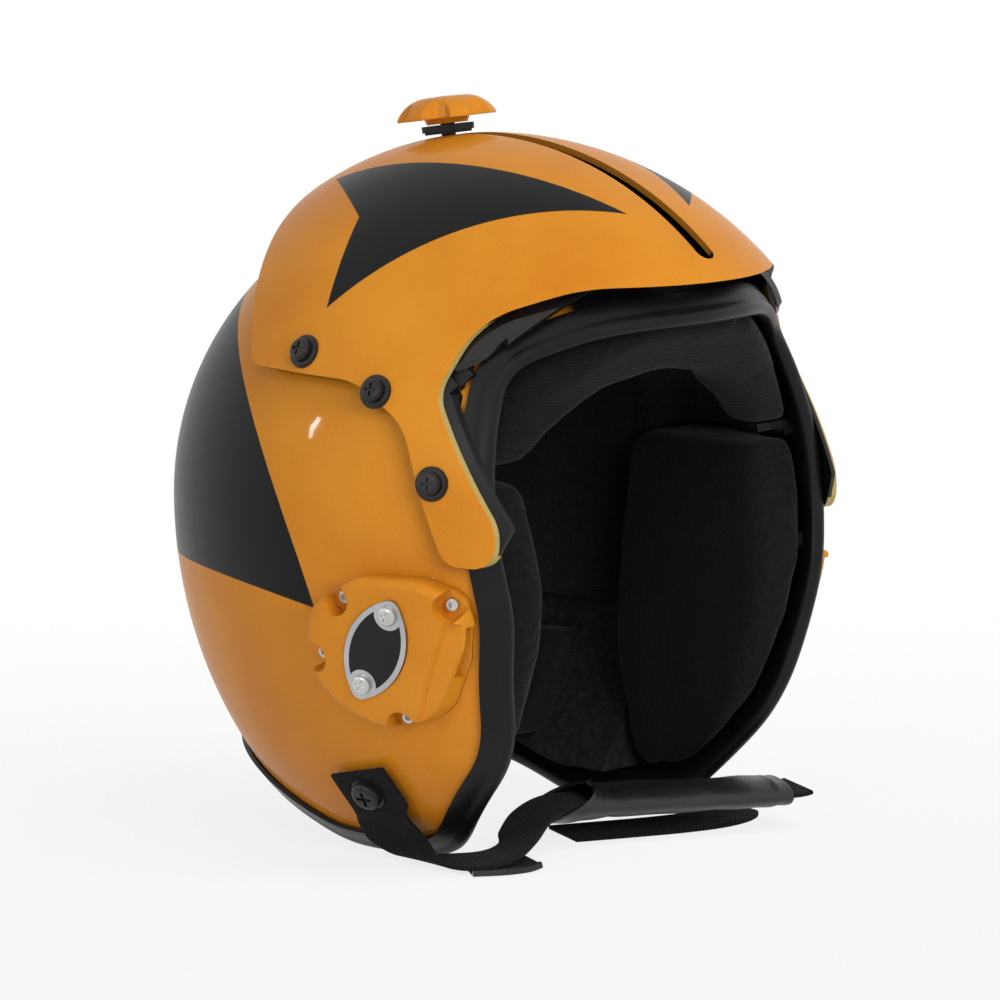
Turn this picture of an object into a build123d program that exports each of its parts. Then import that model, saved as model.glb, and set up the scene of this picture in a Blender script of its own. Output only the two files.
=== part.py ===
from build123d import *
import math
import os

# Open-face pilot flight helmet, seen with its face towards -Y and the wearer's right at -X.
# It stands on its lower edge on the plane Z = 0. All lengths are millimetres.

# Shell: each quarter of its side view is a quarter of an ellipse round one centre.
shell_half_width = 122.5
shell_front = 155.0
shell_rear = 143.0
shell_crown = 131.0
shell_drop = 165.0
shell_centre_height = 137.0
shell_centre_y = -9.5
shell_wall = 3.0
shell_form = (shell_half_width, shell_front, shell_rear, shell_crown, shell_drop)
shell_height = shell_centre_height + shell_crown

# Clearances and cutter lengths shared by pieces that fit together.
soft_gap = 0.4
seat_gap = 0.3
flat_gap = 0.05
hole_gap = 0.4
overrun = 60.0
wide = 2 * shell_front

# Rubber edge trim: the shell stands on it, so the cut edge runs one bead above the ground.
trim_band = 10.0
trim_skin = 1.8
trim_bead = 3.4
bead_share = trim_bead / shell_height

# Kept side of the shell's cut edge, as shares of shell_front and shell_height, with corner radii
# as shares of shell_front.
edge_shares = (
    (-1.30, 0.866), (-1.30, 1.30), (1.30, 1.30), (1.30, 0.235), (0.50, 0.088), (0.12, bead_share),
    (-0.237, bead_share), (-0.526, 0.192), (-0.592, 0.405), (-0.497, 0.775), (-0.65, 0.828),
)
edge_radius_shares = (0.02, 0.02, 0.02, 0.02, 0.60, 0.40, 0.22, 0.38, 0.40, 0.085, 0.28)

# Energy liner.
liner_wall = 18.0
liner_setback = 12.5

# Comfort pads: outlines in the side view as shares of shell_front and shell_height.
crown_pad_wall = 11.0
crown_pad_level_share = 0.80
rear_pad_wall = 12.0
rear_pad_shares = ((0.02, 0.30), (0.02, 0.74), (0.55, 0.76), (1.1, 0.76), (1.1, 0.30))
nape_pad_wall = 15.0
nape_pad_shares = ((0.16, 0.09), (0.16, 0.265), (1.1, 0.275), (1.1, 0.19), (0.60, 0.13))
brow_shares = (
    (-0.715, 0.826), (-0.625, 0.769), (-0.553, 0.712), (-0.528, 0.622),
    (-0.385, 0.618), (-0.415, 0.775), (-0.575, 0.905),
)
brow_radius_share = 0.035
brow_arch_half_width = 84.0
brow_arch_rise = 58.0
cheek_shares = (
    (-0.523, 0.606), (-0.578, 0.430), (-0.562, 0.345), (-0.485, 0.200), (-0.295, 0.060),
    (-0.060, 0.045), (-0.015, 0.250), (-0.045, 0.600),
)
cheek_radius_share = 0.07
cheek_inner = 60.0
cheek_crown_radius = 380.0
cheek_centre_share = (-0.33, 0.34)
cheek_round = 8.0

# Visor cover: an outer skin on its own form round the shell's centre.
cover_half_width = 127.5
cover_front = 167.0
cover_rear = 146.0
cover_crown = 151.0
cover_drop = 170.0
cover_form = (cover_half_width, cover_front, cover_rear, cover_crown, cover_drop)
cover_wall = 2.6
cover_rim = 3.2
cover_shares = (
    (-1.30, 0.890), (-1.30, 1.30), (0.50, 1.30), (0.43, 0.960), (0.205, 0.752), (-0.175, 0.747),
    (-0.345, 0.690), (-0.485, 0.488), (-0.605, 0.483), (-0.610, 0.545), (-0.410, 0.735),
    (-0.455, 0.842), (-0.640, 0.888),
)
cover_radius_shares = (
    0.02, 0.02, 0.02, 0.30, 0.05, 0.22, 0.18, 0.055, 0.055, 0.13, 0.10, 0.16, 0.25,
)
# Where the space under the cover runs out past its front edges, as shares like the outlines.
cover_mouth_shares = (
    (-0.535, 0.505), (-0.385, 0.715), (-0.345, 0.86), (-0.60, 1.02), (-1.35, 1.20), (-1.35, 0.505),
)
slot_width = 9.0
slot_front_angle = 52.0

# Visor slide: the lens turns on a line parallel to X, angles count up from straight ahead.
visor_axis_y = shell_centre_y - 1.0
visor_axis_z = 107.0
lens_radius = 175.0
lens_offset = 30.0
lens_form_half_width = 124.0
lens_wall = 2.2
lens_half_width = 99.0
lens_lower_angle = 53.5
lens_upper_angle = 104.0
lens_corner = 16.0
lens_upper_corner = 5.0
nose_radius = 62.0
nose_depth = 10.0

# Tracks: a grooved arc round the visor axis and a leg behind each arm's front edge.
track_inner_radius = 106.0
track_outer_radius = 121.0
track_start_angle = 54.0
track_end_angle = 108.0
groove_gap = 0.4
track_leg_shares = (
    (-0.635, 0.545), (-0.434, 0.738), (-0.400, 0.735), (-0.360, 0.700), (-0.500, 0.515), (-0.600, 0.500),
)
track_leg_radius_share = 0.015

# Knob and what clamps the lens to the cover, stacked outwards from the visor axis.
knob_angle = 98.9
stud_diameter = 6.0
stud_flange_diameter = 18.0
stud_flange_wall = 1.6
stud_washer_diameter = 16.0
stud_washer_wall = 1.0
pad_radius_start = 181.5
friction_pad_wall = 1.0
slide_plate_wall = 2.6
slide_plate_side = 17.0
friction_pad_side = 15.5
slide_plate_corner = 3.0
knob_seat = 0.4
knob_hub_diameter = 17.0
knob_neck_diameter = 19.0
knob_hub_height = 2.6
knob_wing_drop = 0.4
knob_wing_wall = 1.0
knob_shoulder_height = 8.6
knob_shoulder_diameter = 31.2
knob_top_diameter = 19.0
knob_top_height = 11.0
knob_crown_height = 11.4
knob_diameter = 41.0
knob_lobes = 6
knob_lobe_cut = 6.2
knob_lobe_step = 2.2
knob_lobe_lean = 14.0
knob_round = 0.8
insert_diameter = 10.0
insert_height = 8.0

# Cross-recess screws, cup washers and nuts of the cover.
cover_screw_shares = ((0.015, 0.780), (-0.245, 0.734), (-0.444, 0.608))
cover_screw = (4.0, 9.6, 3.0)
cover_screw_length = 17.0
cup_diameter = 14.0
cup_height = 1.8
nut_diameter = 10.0
nut_height = 3.0
nut_thread_gap = 0.2
pocket_depth = 10.0
wide_pocket_share = 1.4
recess_width = 1.1
recess_depth_share = 0.55
recess_reach_share = 0.55

# Ear covers: outline as shares of their own length and height round a centre on the shell.
ear_centre_share = (-0.305, 0.351)
ear_length = 70.0
ear_height = 61.0
ear_rise = 12.5
ear_flange = 3.2
ear_skin = 2.4
ear_round = 4.0
ear_outline_shares = (
    (-0.258, 0.506), (-0.456, 0.415), (-0.512, 0.246), (-0.485, 0.056), (-0.308, -0.353),
    (-0.178, -0.475), (0.052, -0.531), (0.312, -0.404), (0.461, -0.208), (0.485, 0.065),
    (0.419, 0.286), (0.115, 0.498),
)
ear_radius_shares = (0.33, 0.18, 0.26, 0.33, 0.33, 0.33, 0.29, 0.33, 0.29, 0.36, 0.26, 0.33)
ear_screw_shares = ((0.244, 0.338), (-0.408, 0.345), (0.430, -0.050), (-0.043, -0.446))
ear_scoop = 6.0
ear_screw = (3.0, 5.2, 2.4)
ear_screw_length = 9.5
mask_slot_tilt = 13.0
mask_slot_height = 22.0
mask_slot_floor = 1.2
mask_slot_gap = 5.6
mask_slot_depth = 11.5
mask_slot_centre_share = (-0.46, 0.02)
ledge_foot_share = (-0.213, -0.366)
ledge_tilt = 23.0
ledge_height = 41.0
ledge_level = 9.3

# Badge plates: an almond of two arcs with rounded tips on the ear cover.
badge_centre_share = (-0.014, 0.025)
badge_width = 26.0
badge_point = 24.5
badge_sink = 0.9
badge_tilt = 26.0
badge_wall = 1.4
badge_rim = 2.2
badge_inset_depth = 0.6
badge_tip = 4.2
badge_screw_spacing = 33.5
badge_screw = (2.6, 8.0, 2.2)
badge_screw_length = 8.0
badge_boss = 7.0

# Chin strap: flat webbing screwed outside the shell, and a sleeve that lies on the ground.
strap_width = 30.0
strap_wall = 1.8
strap_screw_share = (-0.116, 0.110)
strap_screw = (5.0, 13.0, 3.4)
strap_screw_length = 11.5
strap_washer_diameter = 15.0
strap_washer_height = 1.0
strap_seat = 4.2
strap_tilt = 14.7
strap_tab_rise = 10.8
strap_tab_fall = 9.0

# Webbing stations: the middle of the band as shares of shell_half_width, shell_front and
# shell_height, and the direction of its width.
strap_right_shares = (
    ((-0.711, -0.135, 0.0634), (0.1, -0.97, 0.22)),
    ((-0.678, -0.187, 0.0336), (0, -0.98, 0.18)),
    ((-0.694, -0.271, 0.0115), (-0.2, -0.98, 0.02)),
    ((-0.620, -0.374, 0.0134), (-0.6, -0.8, 0)),
    ((-0.506, -0.403, 0.0187), (-0.55, -0.83, 0)),
    ((-0.376, -0.374, 0.0317), (-0.3, -0.95, 0.05)),
    ((-0.245, -0.335, 0.0485), (-0.3, -0.95, 0.03)),
    ((-0.114, -0.300, 0.0634), (-0.400, -0.917, 0)),
    ((0.057, -0.348, 0.0616), (-0.420, -0.908, 0)),
    ((0.367, -0.469, 0.0580), (-0.443, -0.896, 0)),
    ((0.620, -0.568, 0.0560), (-0.443, -0.896, 0)),
    ((0.705, -0.600, 0.0530), (-0.443, -0.896, 0)),
)
strap_left_shares = (
    ((0.711, -0.135, 0.0634), (-0.1, -0.97, 0.22)),
    ((0.678, -0.187, 0.0336), (0, -0.98, 0.18)),
    ((0.694, -0.271, 0.0082), (0.2, -0.98, 0.02)),
    ((0.620, -0.374, 0.0049), (0.6, -0.8, 0)),
    ((0.490, -0.400, 0.0049), (0.1, -0.99, 0)),
    ((0.327, -0.368, 0.0049), (-0.3, -0.95, 0)),
    ((0.122, -0.297, 0.0049), (-0.43, -0.9, 0)),
    ((-0.016, -0.245, 0.0049), (-0.43, -0.9, 0)),
)
sleeve_shares = (
    (-0.114, -0.300, 0.0634),
    (0.057, -0.348, 0.0616),
    (0.367, -0.469, 0.0580),
    (0.620, -0.568, 0.0560),
)
sleeve_direction = (0.896, -0.443, 0)
sleeve_half_widths = (18.6, 18.4, 18.2, 17.8)
sleeve_half_heights = (8.0, 6.6, 6.2, 5.8)
sleeve_skin = 1.8
end_tab_shares = (
    ((-0.653, -0.361, 0.0045), (-0.6, -0.8, 0)),
    ((-0.571, -0.406, 0.0045), (-0.55, -0.83, 0)),
    ((-0.490, -0.426, 0.0048), (-0.5, -0.86, 0)),
    ((-0.441, -0.432, 0.0090), (-0.45, -0.88, 0)),
)
end_tab_width = 26.0
end_tab_wall = 1.6


def in_side_view(share):
    """Y and Z of a point given as shares of the shell's front reach and height."""
    return shell_centre_y + share[0] * shell_front, share[1] * shell_height


def unit_quarter():
    """A quarter of a ball of radius 1, on the +Y and +Z side of the X axis."""
    with BuildPart() as ball:
        with BuildSketch(Plane.XY):
            with BuildLine():
                CenterArc((0, 0), 1, 0, 180)
                Line((-1, 0), (1, 0))
            make_face()
        revolve(axis=Axis.X, revolution_arc=90)
    return ball.part


quarter = unit_quarter()
made_forms = {}


def form_solid(sizes, grow=0.0):
    """A closed form of four quarter ellipsoids that meet smoothly at the shell's centre."""
    if (sizes, grow) in made_forms:
        return made_forms[sizes, grow]
    half_width, front, rear, crown, drop = [size + grow for size in sizes]
    rear_up = scale(quarter, by=(half_width, rear, crown))
    front_up = mirror(scale(quarter, by=(half_width, front, crown)), about=Plane.XZ)
    rear_down = mirror(scale(quarter, by=(half_width, rear, drop)), about=Plane.XY)
    front_down = mirror(scale(quarter, by=(half_width, front, drop)), about=Plane.XZ)
    front_down = mirror(front_down, about=Plane.XY)
    whole = rear_up + front_up + rear_down + front_down
    made_forms[sizes, grow] = Pos(0, shell_centre_y, shell_centre_height) * whole
    return made_forms[sizes, grow]


def side_face(points, radii):
    """A flat outline in the side view, with rounded corners."""
    with BuildSketch(Plane.YZ) as sketch:
        with BuildLine():
            FilletPolyline(*points, radius=radii, close=True)
        make_face()
    return sketch.sketch


def share_face(shares, radius_shares):
    """A side-view outline from shares of the shell's sizes."""
    points = [in_side_view(share) for share in shares]
    if isinstance(radius_shares, float):
        radius_shares = [radius_shares] * len(points)
    return side_face(points, [share * shell_front for share in radius_shares])


def prism(face, inner=-wide, outer=wide):
    """A side-view face pushed along X from one place to another."""
    return extrude(Pos(inner, 0, 0) * face, amount=outer - inner, dir=(1, 0, 0))


def surface_plane(sizes, y, z, side, grow=0.0):
    """A plane that touches a form at a side-view point, its normal pointing out of the form."""
    half_width, front, rear, crown, drop = [size + grow for size in sizes]
    forward = y - shell_centre_y
    upward = z - shell_centre_height
    reach = front if forward < 0 else rear
    rise = crown if upward > 0 else drop
    x = side * half_width * math.sqrt(1 - (forward / reach) ** 2 - (upward / rise) ** 2)
    normal = Vector(x / half_width**2, forward / reach**2, upward / rise**2)
    return Plane(origin=(x, y, z), x_dir=Vector(0, 0, 1).cross(normal), z_dir=normal)


def visor_point(radius, angle):
    """Y and Z at a radius from the visor axis, the angle counted up from straight ahead."""
    turn = math.radians(angle)
    return visor_axis_y - radius * math.cos(turn), visor_axis_z + radius * math.sin(turn)


def visor_plane(angle, radius=0.0):
    """A plane on the visor's middle line whose normal points away from the visor axis."""
    y, z = visor_point(radius, angle)
    turn = math.radians(angle)
    return Plane(origin=(0, y, z), x_dir=(1, 0, 0), z_dir=(0, -math.cos(turn), math.sin(turn)))


visor_axis = Axis((0, visor_axis_y, visor_axis_z), (1, 0, 0))


def turned_about_visor(face_maker, angle, arc):
    """A profile drawn with X across and Y away from the visor axis, swept down by an arc."""
    y, z = visor_point(0.0, angle)
    turn = math.radians(angle)
    away = Vector(0, -math.cos(turn), math.sin(turn))
    plane = Plane(origin=(0, y, z), x_dir=(1, 0, 0), z_dir=Vector(1, 0, 0).cross(away))
    with BuildPart() as swept:
        with BuildSketch(plane):
            face_maker()
        revolve(axis=visor_axis, revolution_arc=arc)
    return swept.part


low = (Align.CENTER, Align.CENTER, Align.MIN)
high = (Align.CENTER, Align.CENTER, Align.MAX)


def pan_screw(size, length):
    """A cross-recess pan-head screw, its head standing on the plane Z = 0."""
    shank, head, rise = size
    body = Cylinder(head / 2, rise, align=low)
    body = fillet(body.edges().group_by(Axis.Z)[-1], rise * 0.6)
    body += Cylinder(shank / 2, length, align=high)
    depth = rise * recess_depth_share
    for turn in (0, 90):
        bar = Box(head * recess_reach_share, recess_width * head / cover_screw[1], depth)
        body -= Pos(0, 0, rise) * Rot(0, 0, turn) * bar
    return body


def socket_screw(size, length):
    """A small socket-head screw, its head standing on the plane Z = 0."""
    shank, head, rise = size
    body = Cylinder(head / 2, rise, align=low)
    body = fillet(body.edges().group_by(Axis.Z)[-1], rise * 0.12)
    body += Cylinder(shank / 2, length, align=high)
    socket = extrude(RegularPolygon(head * 0.28, 6), amount=rise * 0.6)
    return body - Pos(0, 0, rise * 0.4) * socket


def ring(outer, bore, height):
    """A plain ring standing on the plane Z = 0."""
    return Cylinder(outer / 2, height, align=low) - Cylinder(bore / 2, 3 * height)


def cup_washer():
    """A cup washer with a rounded outer edge and a dished seat for the screw head."""
    bore = cover_screw[0] + 2 * hole_gap
    cup = ring(cup_diameter, bore, cup_height)
    top = cup.edges().group_by(Axis.Z)[-1].sort_by(SortBy.RADIUS)[-1]
    return fillet(top, cup_height * 0.7)


def shank_hole(shank, plane):
    """A clearance hole through whatever lies under a screw's seat."""
    return plane.location * Cylinder(shank / 2 + hole_gap, overrun)


parts = {}


def keep(name, shape):
    """Remember a piece under its node name."""
    parts[name] = shape


sides = {"right": -1, "left": 1}

# Fastener places.
cover_screw_planes = []
for side in sides.values():
    for share in cover_screw_shares:
        y, z = in_side_view(share)
        cover_screw_planes.append(surface_plane(cover_form, y, z, side))


def ear_point(share):
    """Y and Z of a point given as shares of the ear cover's length and height."""
    centre_y, centre_z = in_side_view(ear_centre_share)
    return centre_y + share[0] * ear_length, centre_z + share[1] * ear_height


ear_screw_planes = {side: [] for side in sides.values()}
for side in sides.values():
    for share in ear_screw_shares:
        y, z = ear_point(share)
        ear_screw_planes[side].append(surface_plane(shell_form, y, z, side, ear_flange))

strap_y, strap_z = in_side_view(strap_screw_share)
strap_seats = {}
for side in sides.values():
    strap_seats[side] = surface_plane(shell_form, strap_y, strap_z, side, strap_seat)

# Shell.
edge_face = share_face(edge_shares, edge_radius_shares)
shell = form_solid(shell_form) - form_solid(shell_form, -shell_wall)
shell = shell & prism(edge_face)
for plane in cover_screw_planes:
    shell -= shank_hole(cover_screw[0], plane)
for side, planes in ear_screw_planes.items():
    for plane in planes:
        shell -= shank_hole(ear_screw[0], plane)
for plane in strap_seats.values():
    shell -= shank_hole(strap_screw[0], plane)
keep("shell", shell)

# Edge trim: a channel over the cut edge with a bead along its nose.
trim_inner = -shell_wall - seat_gap - trim_skin
trim = form_solid(shell_form, seat_gap + trim_skin) - form_solid(shell_form, trim_inner)
outer_edge = offset(edge_face, amount=trim_bead)
trim_zone = prism(outer_edge) - prism(offset(edge_face, amount=-trim_band))
trim = trim & trim_zone
channel = form_solid(shell_form, seat_gap) - form_solid(shell_form, -shell_wall - seat_gap)
trim -= channel & prism(offset(edge_face, amount=seat_gap))
keep("edge_trim", trim)

# Room that pieces outside the shell leave for the trim's band.
trim_room = form_solid(shell_form, trim_skin + 2 * seat_gap)
trim_room -= prism(offset(edge_face, amount=-trim_band - seat_gap))

# Energy liner: foam between the shell and the pads, cut back from the edge trim.
liner_outer = -shell_wall - seat_gap
liner_inner = liner_outer - liner_wall
brow_face = share_face(brow_shares, brow_radius_share)
cheek_face = share_face(cheek_shares, cheek_radius_share)
liner = form_solid(shell_form, liner_outer) - form_solid(shell_form, liner_inner)
liner = liner & prism(offset(edge_face, amount=-liner_setback))
liner -= prism(offset(brow_face, amount=soft_gap))
liner -= prism(offset(cheek_face, amount=soft_gap))


def nut_pocket(plane, width_share=1.0):
    """Room in the soft linings for a nut and a screw's tip."""
    return plane.location * Cylinder(nut_diameter * width_share / 2 + soft_gap, overrun)


pocket_wall = form_solid(shell_form, liner_outer + seat_gap)
pocket_wall -= form_solid(shell_form, liner_outer - pocket_depth)
pockets = [nut_pocket(plane) for plane in cover_screw_planes]
for planes in ear_screw_planes.values():
    pockets += [nut_pocket(plane) for plane in planes]
pockets += [nut_pocket(plane, wide_pocket_share) for plane in strap_seats.values()]
pocket_zone = Part() + [pocket & pocket_wall for pocket in pockets]
liner -= pocket_zone
keep("energy_liner", liner.solids().sort_by(SortBy.VOLUME)[-1])

# Crown, rear and nape pads.
pad_outer = liner_inner - soft_gap


def lining_pad(face, wall):
    """A pad of even thickness on the liner inside a side-view outline, its inner edges rounded."""
    pad = form_solid(shell_form, pad_outer) - form_solid(shell_form, pad_outer - wall)
    return pad & prism(face)


crown_level = crown_pad_level_share * shell_height
with BuildSketch(Plane.YZ) as crown_sketch:
    with Locations((shell_centre_y, crown_level)):
        Rectangle(wide, shell_height, align=(Align.CENTER, Align.MIN))
crown_zone = crown_sketch.sketch - offset(brow_face, amount=soft_gap)
keep("crown_pad", lining_pad(crown_zone, crown_pad_wall))
keep("rear_pad", lining_pad(share_face(rear_pad_shares, brow_radius_share), rear_pad_wall))
keep("nape_pad", lining_pad(share_face(nape_pad_shares, brow_radius_share), nape_pad_wall))

# Brow pad: a thick roll behind the brow edge, hollowed by an arch for the forehead.
inner_form = form_solid(shell_form, trim_inner - soft_gap)
brow_pad = inner_form & prism(brow_face)
with BuildSketch(Plane.XZ) as arch_sketch:
    with Locations((0, shell_centre_height)):
        Ellipse(brow_arch_half_width, brow_arch_rise)
arch = extrude(arch_sketch.sketch, amount=wide, both=True)
brow_pad -= arch
brow_pad -= form_solid(shell_form, pad_outer - crown_pad_wall * 2)
brow_pad -= pocket_zone
keep("brow_pad", brow_pad)

# Cheek pads: thick cushions whose inner face swells towards the cheek.
centre_y, centre_z = in_side_view(cheek_centre_share)
for name, side in sides.items():
    block = prism(cheek_face, side * cheek_inner * 0.5, side * shell_half_width)
    swell = Pos(side * (cheek_inner + cheek_crown_radius), centre_y, centre_z) * Sphere(cheek_crown_radius)
    block = block & swell
    inner_edges = [edge for edge in block.edges() if abs(edge.center().X) < cheek_inner + cheek_round * 1.5]
    block = fillet(inner_edges, cheek_round)
    pad = (block & inner_form) - pocket_zone
    keep(f"cheek_pad_{name}", pad)

# Visor cover.
cover_face = share_face(cover_shares, cover_radius_shares)
mouth_face = share_face(cover_mouth_shares, 0.01)
cavity_face = offset(cover_face, amount=-cover_rim) + mouth_face
cover = form_solid(cover_form) & prism(cover_face)
cover -= form_solid(cover_form, -cover_wall) & prism(cavity_face)
cover -= form_solid(shell_form, seat_gap)
cover -= trim_room
for plane in cover_screw_planes:
    cover -= shank_hole(cover_screw[0], plane)

# Slot for the knob's stud.
slot_end_angle = knob_angle + math.degrees((slot_width / 2) / lens_radius)


def slot_profile():
    with Locations((0, lens_radius)):
        Rectangle(slot_width, 2 * overrun)


slot = turned_about_visor(slot_profile, knob_angle, knob_angle - slot_front_angle)
for angle in (knob_angle, slot_front_angle):
    slot += visor_plane(angle, lens_radius).location * Cylinder(slot_width / 2, 2 * overrun)
cover -= slot
keep("visor_cover", cover)

# Visor lens.
lens_rise = lens_radius - lens_offset


def lens_profile(grow=0.0, half_width=lens_half_width):
    """The lens section: X across, the distance from the visor axis upwards."""
    def draw():
        with Locations((0, lens_offset)):
            Ellipse(lens_form_half_width + grow, lens_rise + grow)
            inner_grow = -lens_wall - grow
            Ellipse(lens_form_half_width + inner_grow, lens_rise + inner_grow, mode=Mode.SUBTRACT)
        with Locations((0, lens_offset)):
            Rectangle(
                2 * half_width, 2 * lens_radius,
                align=(Align.CENTER, Align.MIN), mode=Mode.INTERSECT,
            )
    return draw


lens_arc = lens_upper_angle - lens_lower_angle
lens = turned_about_visor(lens_profile(), lens_upper_angle, lens_arc)
nose_drop = math.degrees((nose_radius - nose_depth) / lens_radius)
nose_plane = visor_plane(lens_lower_angle - nose_drop, lens_radius)
lens -= nose_plane.location * Cylinder(nose_radius, overrun)
knob_plane = visor_plane(knob_angle)
lens -= knob_plane.location * Cylinder(stud_diameter / 2 + hole_gap, 2 * lens_radius)
lens_side_radius = lens_offset + lens_rise * math.sqrt(1 - (lens_half_width / lens_form_half_width) ** 2)


def corner_cutter(angle, rounding, side, step):
    """What rounds a lens corner: a block less a cylinder that points at the visor axis."""
    turn = math.degrees(rounding / lens_side_radius)
    block = Pos(rounding, step * rounding, 0) * Box(2 * rounding, 2 * rounding, lens_radius)
    block -= Cylinder(rounding, 2 * lens_radius)
    if side < 0:
        block = mirror(block, about=Plane.YZ)
    place = visor_plane(angle - step * turn, lens_side_radius).location
    return place * Pos(side * (lens_half_width - rounding), 0, 0) * block


for side in sides.values():
    lens -= corner_cutter(lens_lower_angle, lens_corner, side, -1)
    lens -= corner_cutter(lens_upper_angle, lens_upper_corner, side, 1)
keep("visor_lens", lens)

# Visor tracks.
side_band = prism(share_face(track_leg_shares, track_leg_radius_share))


def band_profile():
    middle = (track_inner_radius + track_outer_radius) / 2
    with Locations((0, middle)):
        Rectangle(2 * wide, track_outer_radius - track_inner_radius)


arc_band = turned_about_visor(band_profile, track_end_angle, track_end_angle - track_start_angle)
between = form_solid(cover_form, -cover_wall - seat_gap) - form_solid(shell_form, seat_gap)
groove = turned_about_visor(
    lens_profile(groove_gap, lens_half_width + groove_gap),
    lens_upper_angle + 1, lens_upper_angle + 1,
)
track_pair = between & (arc_band + side_band)
track_pair &= prism(offset(cavity_face, amount=-seat_gap))
track_pair -= groove
track_pair -= trim_room
for name, side in sides.items():
    half = Pos(side * wide / 2, 0, 0) * Box(wide, 2 * wide, 2 * wide)
    track = track_pair & half
    for plane in cover_screw_planes:
        track -= shank_hole(cover_screw[0], plane)
    keep(f"visor_track_{name}", track)

# Stud, washer, friction pad, slide plate and knob on the visor's middle line.
lens_inner_radius = lens_radius - lens_wall
flange_top = lens_inner_radius - seat_gap - hole_gap
plate_start = pad_radius_start + friction_pad_wall
knob_start = plate_start + slide_plate_wall + knob_seat


def on_knob_axis(shape, radius):
    """A shape drawn on the plane Z = 0, stood on the visor's middle line at a radius."""
    return visor_plane(knob_angle, radius).location * shape


stud_length = knob_start + insert_height - flange_top
stud = on_knob_axis(Cylinder(stud_diameter / 2, stud_length, align=low), flange_top)
flange = Cylinder(stud_flange_diameter / 2, stud_flange_wall, align=low)
flange = fillet(flange.edges().group_by(Axis.Z)[0], stud_flange_wall * 0.4)
stud += on_knob_axis(flange, flange_top - stud_flange_wall)
keep("visor_stud", stud)
stud_bore = stud_diameter + 2 * hole_gap
washer = ring(stud_washer_diameter, stud_bore, stud_washer_wall)
keep("stud_washer", on_knob_axis(washer, lens_radius + seat_gap))


def curved_plate(start, wall, length):
    """A square plate bent round the visor axis, bored for the stud."""
    def draw():
        with Locations((0, start + wall / 2)):
            Rectangle(length, wall)
    arc = math.degrees(length / start)
    plate = turned_about_visor(draw, knob_angle + arc / 2, arc)
    corners = [edge for edge in plate.edges() if abs(edge.length - wall) < wall * 0.01]
    plate = fillet(corners, slide_plate_corner)
    return plate - on_knob_axis(Cylinder(stud_bore / 2, overrun), start)


keep("friction_pad", curved_plate(pad_radius_start, friction_pad_wall, friction_pad_side))
keep("slide_plate", curved_plate(plate_start, slide_plate_wall, slide_plate_side))

# Knob: a domed hand knob with deep finger cuts, a hub below and a threaded insert.
with BuildPart() as knob_builder:
    with BuildSketch(Plane.XZ):
        with BuildLine():
            Polyline(
                (knob_top_diameter / 2, knob_top_height), (0, knob_crown_height), (0, 0),
                (knob_hub_diameter / 2, 0), (knob_neck_diameter / 2, knob_hub_height),
                (knob_diameter / 2, knob_hub_height - knob_wing_drop),
                (knob_diameter / 2, knob_hub_height - knob_wing_drop + knob_wing_wall),
            )
            ThreePointArc(
                (knob_diameter / 2, knob_hub_height - knob_wing_drop + knob_wing_wall),
                (knob_shoulder_diameter / 2, knob_shoulder_height),
                (knob_top_diameter / 2, knob_top_height),
            )
        make_face()
    revolve(axis=Axis.Z)
knob = knob_builder.part
for lobe in range(knob_lobes):
    cut = Cylinder(knob_lobe_cut, overrun)
    cut = Pos(knob_diameter / 2 + knob_lobe_step, 0, 0) * Rot(0, -knob_lobe_lean, 0) * cut
    knob -= Rot(0, 0, (lobe + 0.5) * 360 / knob_lobes) * cut
upper_edges = [
    edge for edge in knob.edges()
    if knob_hub_height < edge.center().Z < knob_crown_height - knob_hub_height * 0.05
]
knob = fillet(upper_edges, knob_round)
knob -= Cylinder(insert_diameter / 2, insert_height, align=low)
knob_turned = visor_plane(knob_angle, knob_start).location
keep("knob", knob_turned * knob)
insert = ring(insert_diameter, stud_diameter + hole_gap, insert_height)
keep("knob_insert", knob_turned * insert)

# Cover fasteners: cup washers and screws outside, nuts inside the shell.


def gather(shapes):
    """Like pieces kept together in one node."""
    return Compound(children=list(shapes))


keep("cover_cup_washers", gather(plane.location * cup_washer() for plane in cover_screw_planes))
cover_screws = []
for plane in cover_screw_planes:
    cover_screws.append(plane.location * Pos(0, 0, cup_height) * pan_screw(cover_screw, cover_screw_length))
keep("cover_screws", gather(cover_screws))


def inner_nut(plane, bore):
    """A round nut on a screw's line, seated on the inside of the shell."""
    lower = form_solid(shell_form, -shell_wall)
    line = plane.location * Cylinder(bore / 2, 2 * overrun)
    ring_zone = plane.location * (Cylinder(nut_diameter / 2, 2 * overrun) - Cylinder(bore / 2, 3 * overrun))
    near = surface_plane(shell_form, plane.origin.Y, plane.origin.Z, math.copysign(1, plane.origin.X))
    reach = Sphere(overrun / 2)
    wall = lower - form_solid(shell_form, -shell_wall - nut_height)
    return ring_zone & wall & (Pos(*near.origin) * reach)


cover_nut_bore = cover_screw[0] + nut_thread_gap
keep("cover_nuts", gather(inner_nut(plane, cover_nut_bore) for plane in cover_screw_planes))

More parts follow.
